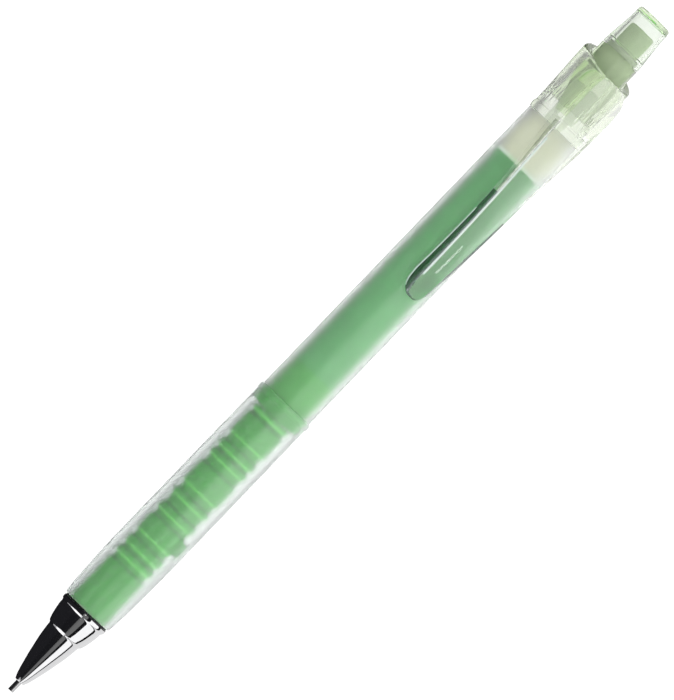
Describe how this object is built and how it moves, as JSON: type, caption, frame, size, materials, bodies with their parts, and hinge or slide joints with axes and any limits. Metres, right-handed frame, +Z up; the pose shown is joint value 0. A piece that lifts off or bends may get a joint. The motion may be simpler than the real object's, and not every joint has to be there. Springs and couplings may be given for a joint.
{
  "type": "lead holder",
  "caption": "Push-button clutch lead holder for fine leads, with a plated cone tip, frosted grip, clear pocket clip and a capped eraser under the button.",
  "frame": {"origin": "on the surface the pencil lies on, under the middle of its bounding box", "axes": "+X along the pencil from the guide pipe to the eraser cap, +Z up, with the clip to the -Y side and a little below level"},
  "size_m": [0.143, 0.0133, 0.0105],
  "materials": {
    "chrome_plate": "mirror-bright plating on turned brass",
    "polished_pipe": "polished steel",
    "black_rubber": "soft, dull",
    "graphite": "dark polymer-bound graphite, faint sheen",
    "turned_brass": "turned, fine lines",
    "spring_steel": "drawn wire",
    "grey_plastic": "moulded",
    "tube_plastic": "moulded, slightly milky",
    "green_core": "tinted plastic, satin",
    "frosted_grip": "frosted clear silicone",
    "frosted_barrel": "frosted clear plastic",
    "green_liner": "tinted plastic, satin",
    "cream_plastic": "ivory plastic",
    "clear_plastic": "polished clear plastic",
    "white_eraser": "matt vinyl"
  },
  "bodies": {
    "barrel": {"outer_barrel": "frosted_barrel", "barrel_liner": "green_liner", "tail_bush": "cream_plastic", "tail_collar": "clear_plastic", "grip_core": "green_core", "grip": "frosted_grip", "chuck_sleeve": "turned_brass"},
    "tip": {"tip_cone": "chrome_plate", "lead_sleeve": "polished_pipe", "lead_retainer": "black_rubber"},
    "push_button": {"eraser_holder": "clear_plastic", "lead_tube": "tube_plastic", "connector": "grey_plastic", "chuck": "turned_brass", "return_spring": "spring_steel", "spare_leads": "graphite"},
    "chuck_ring": {"chuck_ring": "turned_brass"},
    "lead": {"lead": "graphite"},
    "eraser_cap": {"eraser_cap": "clear_plastic"},
    "eraser": {"eraser": "white_eraser"},
    "clip": {"clip": "clear_plastic"}
  },
  "joints": [
    {"name": "button_press", "type": "slide", "parent": "barrel", "child": "push_button", "axis": [-1, 0, 0], "range_m": [0, 0.0035], "stiffness_N_per_m": 600, "springref_m": -0.003, "deforming": ["return_spring"]},
    {"name": "ring_slide", "type": "slide", "parent": "barrel", "child": "chuck_ring", "axis": [-1, 0, 0], "range_m": [0, 0.0007]},
    {"name": "lead_feed", "type": "slide", "parent": "push_button", "child": "lead", "axis": [-1, 0, 0], "range_m": [0, 0.01]},
    {"name": "tip_unscrew", "type": "slide", "parent": "barrel", "child": "tip", "axis": [-1, 0, 0], "range_m": [0, 0.006]},
    {"name": "cap_pull", "type": "slide", "parent": "push_button", "child": "eraser_cap", "axis": [1, 0, 0], "range_m": [0, 0.02]},
    {"name": "eraser_pull", "type": "slide", "parent": "push_button", "child": "eraser", "axis": [1, 0, 0], "range_m": [0, 0.01]},
    {"name": "clip_flex", "type": "hinge", "parent": "barrel", "child": "clip", "pos_m": [0.0596, -0.00339, 0.0036], "axis": [0, -0.3502, 0.9367], "range_deg": [0, 4], "stiffness_Nm_per_rad": 0.2, "springref_deg": -5.73}
  ],
  "couplings": [
    {"joint": "ring_slide", "follows": "button_press", "ratio": 0.2},
    {"joint": "eraser_pull", "follows": "cap_pull", "ratio": 0.5}
  ]
}
